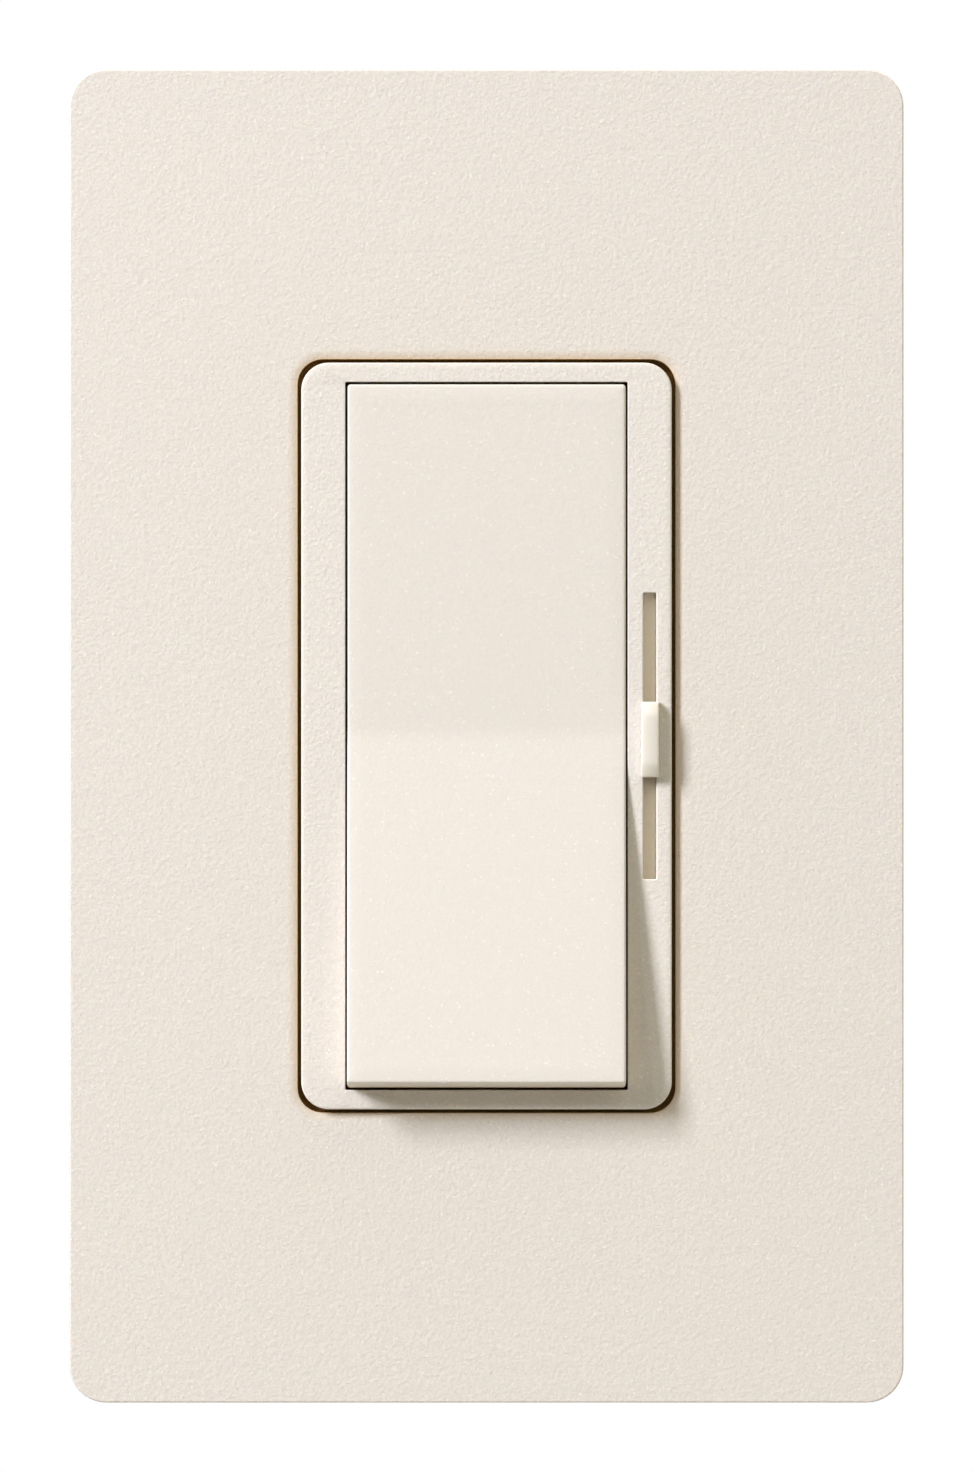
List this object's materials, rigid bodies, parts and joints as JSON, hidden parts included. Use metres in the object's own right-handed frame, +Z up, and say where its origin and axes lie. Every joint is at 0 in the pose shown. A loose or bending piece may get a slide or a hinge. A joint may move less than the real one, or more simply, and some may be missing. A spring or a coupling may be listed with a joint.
{
  "type": "wall dimmer switch",
  "caption": "Wall dimmer with a rocking paddle switch, a linear slide control at its right and a screwless clip-fitted plate, on a metal yoke with a rear housing.",
  "frame": {"origin": "midway between the two box screws, in the wall plane", "axes": "+X to the right seen from the room, +Y into the wall along the box screws, +Z up"},
  "size_m": [0.0746, 0.0443, 0.1194],
  "materials": {
    "almond_plate": "satin with a fine grain",
    "almond_bezel": "satin with a fine grain",
    "almond_paddle": "smooth satin",
    "almond_knob": "smooth",
    "almond_shutter": "satin",
    "almond_adapter": "satin",
    "sheet_aluminium": "rolled sheet",
    "zinc_steel": "bright zinc plate",
    "rivet_aluminium": "plain",
    "fibre_board": "pressed fibre",
    "natural_nylon": "smooth",
    "spring_steel": "bright wire",
    "dark_acetal": "moulded",
    "phosphor_bronze": "sprung sheet",
    "black_plastic": "moulded",
    "carbon_track": "printed carbon on phenolic",
    "tinned_metal": "tinned",
    "circuit_board": "solder mask",
    "epoxy_black": "moulded epoxy with a tinned tab and leads",
    "insulator_film": "silicone film",
    "iron_powder": "painted powder core",
    "enamelled_copper": "enamelled wire",
    "capacitor_case": "dipped",
    "capacitor_blue": "dipped",
    "resistor_body": "lacquered",
    "diac_glass": "glass bead",
    "contact_brass": "plain",
    "contact_silver": "silver alloy",
    "phenolic_black": "moulded",
    "brass_screw": "plain",
    "green_screw": "green plated"
  },
  "bodies": {
    "frame": {"wallplate": "almond_plate", "wallplate_adapter": "almond_adapter", "adapter_screws": "zinc_steel", "yoke": "sheet_aluminium", "box_screws": "zinc_steel", "screw_retainers": "fibre_board", "bezel": "almond_bezel", "pot_body": "black_plastic", "pot_track": "carbon_track", "pot_pins": "tinned_metal", "pcb": "circuit_board", "triac": "epoxy_black", "triac_insulator": "insulator_film", "triac_rivet": "rivet_aluminium", "choke_core": "iron_powder", "choke_winding": "enamelled_copper", "filter_capacitor": "capacitor_case", "timing_capacitor": "capacitor_blue", "resistors": "resistor_body", "diac": "diac_glass", "fixed_contacts": "contact_silver", "common_cradle": "contact_brass", "traveller_strips": "contact_brass", "switch_base": "phenolic_black", "terminal_screws": "brass_screw", "ground_screw": "green_screw", "rear_housing": "phenolic_black", "housing_screws": "zinc_steel"},
    "rocking_paddle": {"paddle": "almond_paddle", "plunger_spring": "spring_steel"},
    "spring_plunger": {"plunger": "natural_nylon"},
    "switch_rocker": {"contact_rocker": "contact_brass", "rocker_contacts": "contact_silver"},
    "slider": {"slider_knob": "almond_knob", "dust_shutter": "almond_shutter", "slider_carrier": "dark_acetal", "pot_wiper": "phosphor_bronze"}
  },
  "joints": [
    {"name": "paddle_rock", "type": "hinge", "parent": "frame", "child": "rocking_paddle", "pos_m": [0, -0.0051, 0], "axis": [1, 0, 0], "range_deg": [0, 6]},
    {"name": "plunger_slide", "type": "slide", "parent": "rocking_paddle", "child": "spring_plunger", "axis": [0, -0.9986, 0.0523], "range_m": [0, 0.0008], "stiffness_N_per_m": 200, "springref_m": -0.002, "deforming": ["plunger_spring"]},
    {"name": "contact_rock", "type": "hinge", "parent": "frame", "child": "switch_rocker", "pos_m": [0, 0.0139, 0], "axis": [1, 0, 0], "range_deg": [-10.3, 0]},
    {"name": "slider_slide", "type": "slide", "parent": "frame", "child": "slider", "axis": [0, 0, 1], "range_m": [-0.0089, 0.0095]}
  ],
  "couplings": [
    {"joint": "contact_rock", "follows": "paddle_rock", "ratio": -1.7143}
  ]
}
